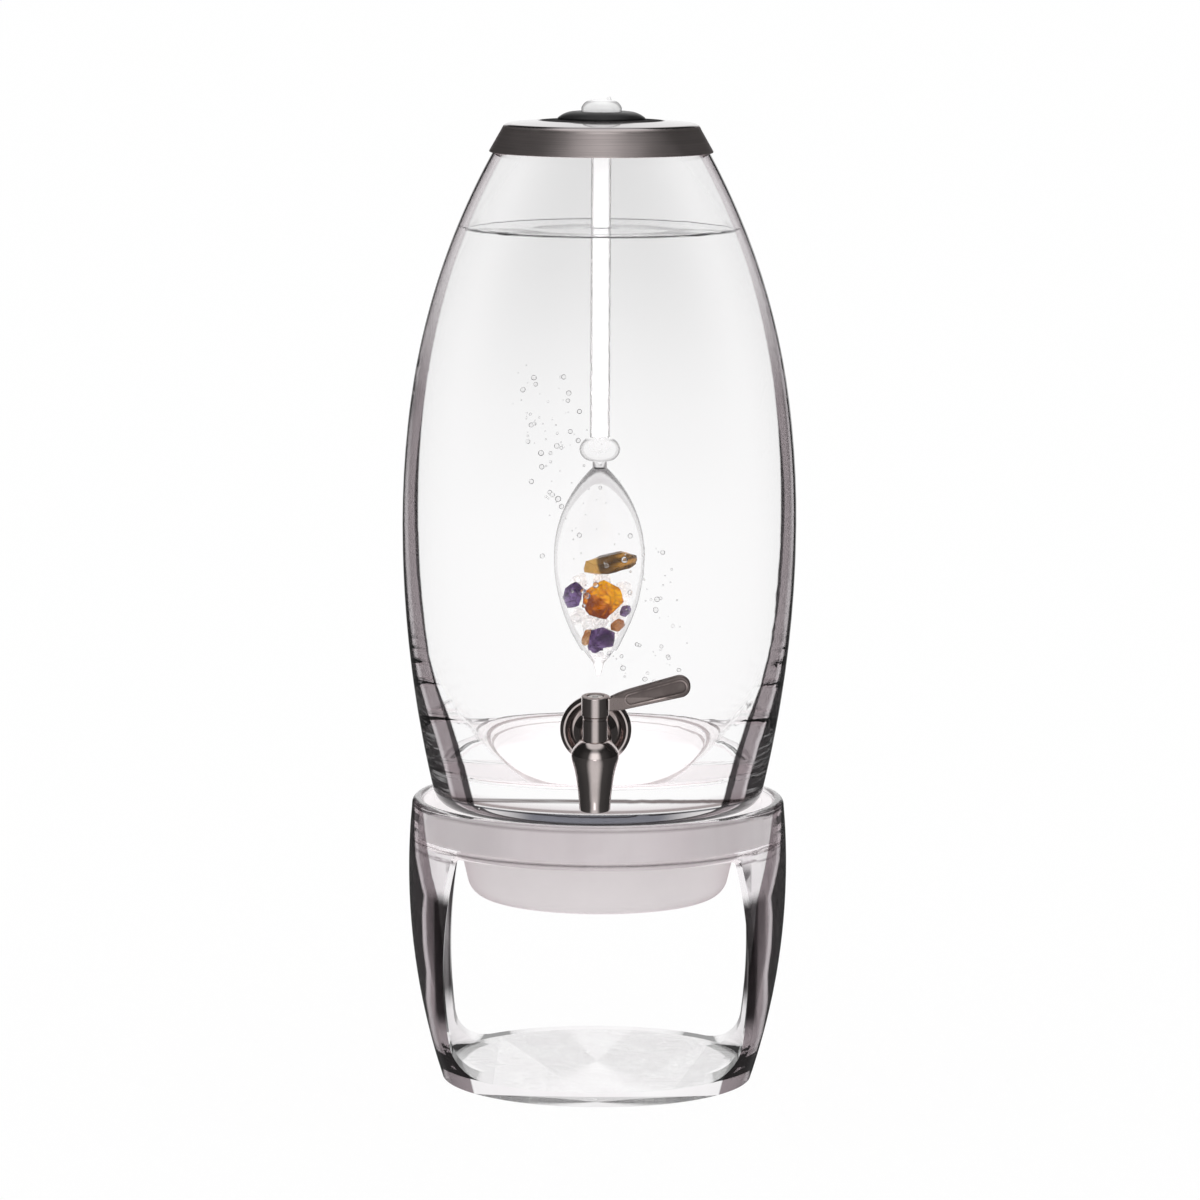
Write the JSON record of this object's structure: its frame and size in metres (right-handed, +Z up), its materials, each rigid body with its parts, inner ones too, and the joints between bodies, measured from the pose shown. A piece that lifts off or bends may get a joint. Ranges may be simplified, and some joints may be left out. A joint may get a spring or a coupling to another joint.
{
  "type": "glass drink dispenser",
  "caption": "Tall barrel-shaped glass drink dispenser on a clear glass stand, with a steel lid, a hanging glass wand of stones and a quarter-turn tap low on the front.",
  "frame": {"origin": "centre of the flat underside of the stand", "axes": "+Z up along the axis of the vessel, -Y towards the tap and the viewer, +X to the side the closed lever points to"},
  "size_m": [0.23, 0.2627, 0.576],
  "materials": {
    "clear_glass": "clear, polished, faint grey tint at the edges",
    "frosted_glass": "frosted, pale grey-pink",
    "wand_glass": "clear, thin, blown",
    "lid_steel": "brushed skirt, polished crown",
    "tap_steel": "polished steel",
    "black_rubber": "smooth, slightly shiny",
    "seal_silicone": "milky silicone",
    "seal_plastic": "white, slippery",
    "tiger_eye": null,
    "citrine": null,
    "amethyst": null,
    "jasper": null,
    "quartz": null
  },
  "bodies": {
    "stand": {"stand": "clear_glass"},
    "bowl": {"support_bowl": "frosted_glass"},
    "vessel": {"vessel": "clear_glass", "tap_body": "tap_steel", "tap_flange": "tap_steel", "outer_gasket": "seal_silicone", "inner_gasket": "seal_silicone", "shank_washer": "tap_steel", "shank_nut": "tap_steel", "bonnet_nut": "tap_steel", "stop_pin": "tap_steel", "stem_washer": "seal_plastic"},
    "lid": {"lid_shell": "lid_steel", "lid_seal": "seal_silicone", "wand_stopper": "black_rubber", "wand_glass": "wand_glass", "tiger_eye": "tiger_eye", "citrine": "citrine", "amethyst_stones": "amethyst", "jasper_slivers": "jasper", "quartz_chips": "quartz"},
    "valve": {"valve_plug": "tap_steel", "plug_seal_rings": "black_rubber", "lever": "tap_steel", "lever_screw": "tap_steel"}
  },
  "joints": [
    {"name": "bowl_lift", "type": "slide", "parent": "stand", "child": "bowl", "axis": [0, 0, 1], "range_m": [0, 0.08]},
    {"name": "vessel_lift", "type": "slide", "parent": "bowl", "child": "vessel", "axis": [0, 0, 1], "range_m": [0, 0.06]},
    {"name": "lid_lift", "type": "slide", "parent": "vessel", "child": "lid", "axis": [0, 0, 1], "range_m": [0, 0.34]},
    {"name": "tap_turn", "type": "hinge", "parent": "vessel", "child": "valve", "pos_m": [0, -0.135, 0.2205], "axis": [0, 0.1045, -0.9945], "range_deg": [0, 90]}
  ]
}
